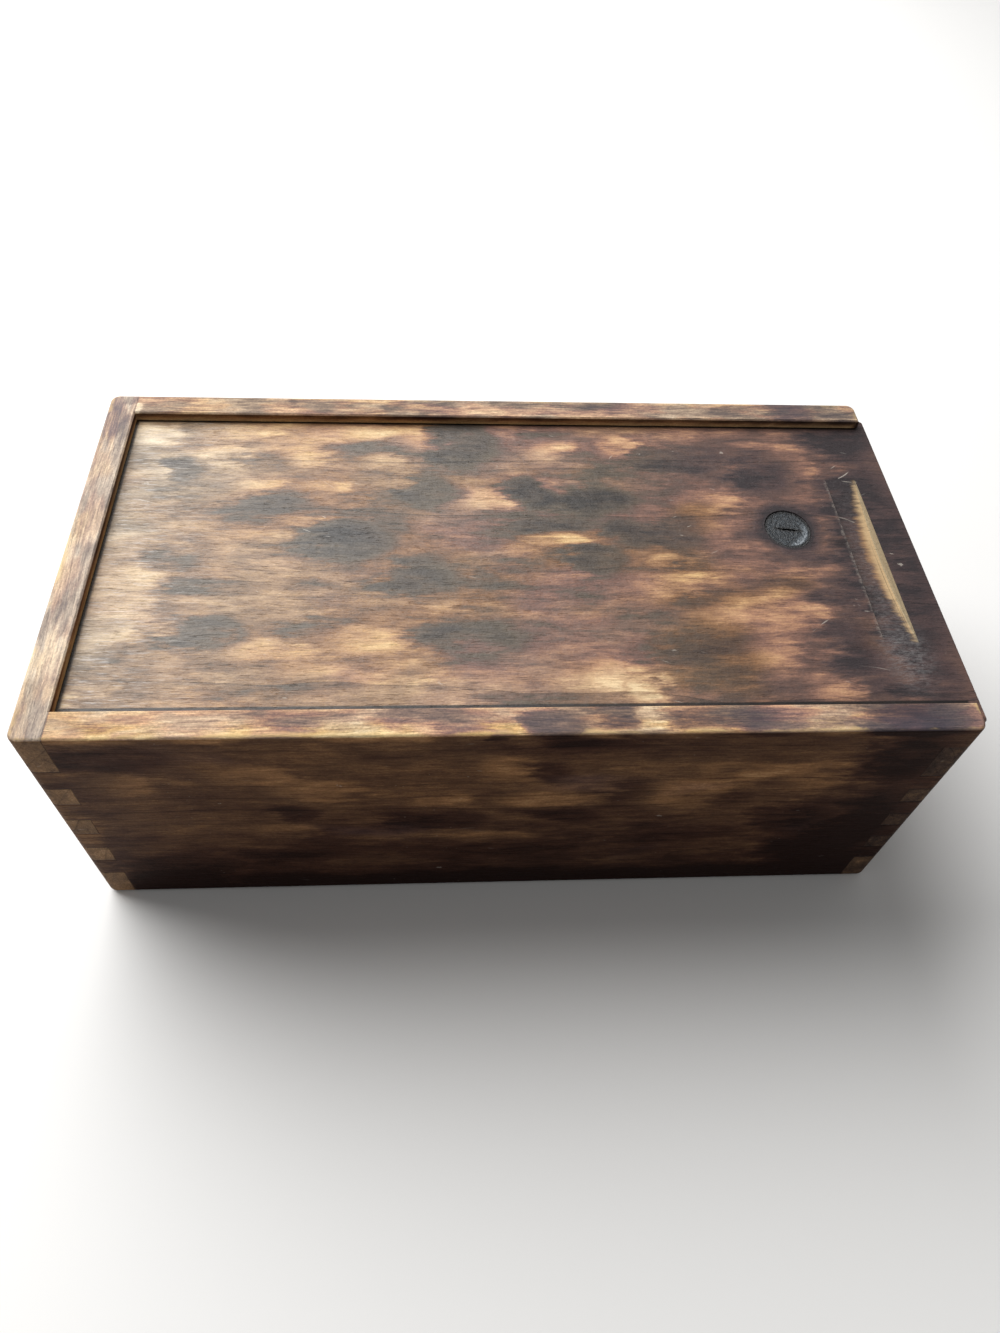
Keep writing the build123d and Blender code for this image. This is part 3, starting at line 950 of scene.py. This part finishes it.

    # Painted shade in the gaps where the lid meets the lips round it
    front = fade(tree, at["Y"], 2.9 - innerBack, 2.4 - innerBack)
    gapShade = maths(tree, "MAXIMUM", front, fade(tree, at["Y"], innerBack - 0.9, innerBack - 0.2))
    underEdge = fade(tree, fromMiddle, innerBack + 1.1, innerBack + 0.2)
    gapShade = times(tree, times(tree, gapShade, underEdge), covered)
    heldEnd = fade(tree, at["X"], innerLeft + 1.3, innerLeft + 0.4)
    heldEnd = times(tree, heldEnd, fade(tree, at["X"], innerLeft - 1.1, innerLeft - 0.2))
    gapShade = maths(tree, "MAXIMUM", gapShade, times(tree, heldEnd, underEdge))
    colour = vectors(tree, "MULTIPLY", colour, weigh(tree, gapShade, -lidFinish["gapShade"], 1.0))
    tree.links.new(colour, surface["Base Color"])
    surface["Specular IOR Level"].default_value = lidFinish["specular"]
    woodSurface(tree, surface, place, grain, None, lidFinish)
    dress("sliding_lid", material)


finishLid()
print("lid finished")


# The knot

knot = {
    "crackAngle": -8.0,
    "crackReach": (4.3, 0.85),            # mm of soot along and across the crack, from its middle
    "ringCount": 5.0, "rings": 0.03,
    "wobble": (3.0, 3.0, 0),
    "rimSoot": 0.45, "crescentHighlight": 0.30, "crackSoot": 0.6,
    "rough": 0.22, "roughSpread": 0.4,
    "ringRelief": 0.04, "gritRelief": 0.45,
    "tones": (
        (0.15, "#0c0d0f"), (0.36, "#1f2327"), (0.52, "#363c41"), (0.66, "#61686e"), (0.8, "#a0a5a9"),
    ),
}


def finishKnot():
    material, tree, surface, place = startMaterial("charredKnot")
    middle = (knotLow + knotHigh) / 2
    reach = (knotHigh - knotLow) / 2
    outline = (reach.x, reach.y, anyHeight)
    local = vectors(tree, "SUBTRACT", place, tuple(middle))
    wobble = swing(tree, noise(tree, local, 0.30, detail=3)["Color"], knot["wobble"])
    around = distance(tree, vectors(tree, "DIVIDE", vectors(tree, "ADD", local, wobble), outline))
    oval = distance(tree, vectors(tree, "DIVIDE", local, outline))
    rings = maths(tree, "SINE", times(tree, around, knot["ringCount"] * tau))
    grit = noise(tree, local, (1.5, 1.0, 1.0), detail=4, roughness=0.75)["Fac"]
    tone = weigh(tree, rings, knot["rings"], maths(tree, "SUBTRACT", grit, 0.10))
    tone = weigh(tree, fade(tree, oval, 0.84, 0.99), -knot["rimSoot"], tone)

    # Painted highlight: a paler crescent on the side towards the notch
    at = split(tree, local)
    towards = maths(tree, "SUBTRACT", times(tree, at["X"], 0.8), times(tree, at["Y"], 0.5))
    crescent = times(tree, fade(tree, towards, 1.0, 4.5), fade(tree, oval, 0.96, 0.80))
    crescent = times(tree, crescent, fade(tree, oval, 0.52, 0.74))
    tone = weigh(tree, crescent, knot["crescentHighlight"], tone)

    # Soot in and beside the crack
    slit = rotated(tree, local, radians(-knot["crackAngle"]))
    slit = distance(tree, vectors(tree, "DIVIDE", slit, (*knot["crackReach"], anyHeight)))
    tone = weigh(tree, fade(tree, slit, 1.15, 0.7), -knot["crackSoot"], tone)
    tree.links.new(ramp(tree, tone, knot["tones"]), surface["Base Color"])
    tree.links.new(weigh(tree, grit, knot["roughSpread"], knot["rough"]), surface["Roughness"])
    bumps(tree, surface, weigh(tree, rings, knot["ringRelief"], times(tree, grit, knot["gritRelief"])))
    dress("lid_knot", material)


finishKnot()


# The bottom panel, bare above and below

panel = {"pith": (0, 20, -90), "ringWidth": 3.4}


panelFinish = {
    "ringShade": 0.26, "fleckShade": 0.14, "glintShade": 0.08, "fibreShade": 0.35, "fibreScorch": 0.10,
    "nicks": 0.0, "scratches": 0.0,
    "rough": 0.5, "roughSpread": 0.2,
    "scorch": 0.10, "streaks": 0.05, "clouds": 0.06,
    "smoke": 0.4,
}


def finishPanel():
    material, tree, surface, place = startMaterial("barePanel")
    grain = effect(tree, "woodGrain", Vector=place, Pith=panel["pith"], RingWidth=panel["ringWidth"])
    drift = effect(tree, "torchDrift", Vector=place)
    scorch = weigh(tree, drift["Streaks"], panelFinish["streaks"], panelFinish["scorch"])
    scorch = weigh(tree, drift["Clouds"], panelFinish["clouds"], scorch)
    tints = noise(tree, place, 0.02)["Fac"]
    smoke = fade(tree, tints, 0.3, 0.7, 0.0, panelFinish["smoke"])
    colour = woodColour(tree, place, scorch, smoke, grain, tints, panelFinish)
    tree.links.new(colour, surface["Base Color"])
    woodSurface(tree, surface, place, grain, None, panelFinish)
    dress("bottom_panel", material)


finishPanel()
print("knot and panel finished")
